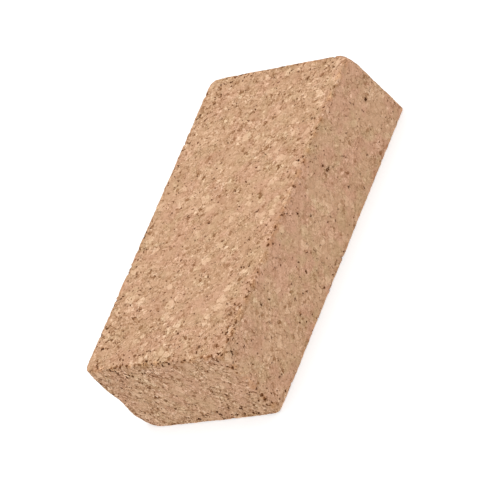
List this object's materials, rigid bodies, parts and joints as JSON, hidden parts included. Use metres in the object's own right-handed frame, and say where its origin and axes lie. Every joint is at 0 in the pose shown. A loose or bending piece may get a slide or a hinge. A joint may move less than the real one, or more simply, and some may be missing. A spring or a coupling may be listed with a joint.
{
  "type": "sanding block",
  "caption": "Rectangular cork sanding block with rounded corners and eased edges, held in the hand with abrasive paper wrapped round it.",
  "frame": {"origin": "centre of the lower broad face, which is the face that the block rests and sands on", "axes": "+Y along the length, +X across the width, +Z through the thickness, out of the upper broad face"},
  "size_m": [0.06, 0.12, 0.03],
  "materials": {
    "cork": "pressed cork granules, dry and matt, light tan with cream and brown flecks"
  },
  "bodies": {
    "root": {"cork_block": "cork"}
  },
  "joints": []
}
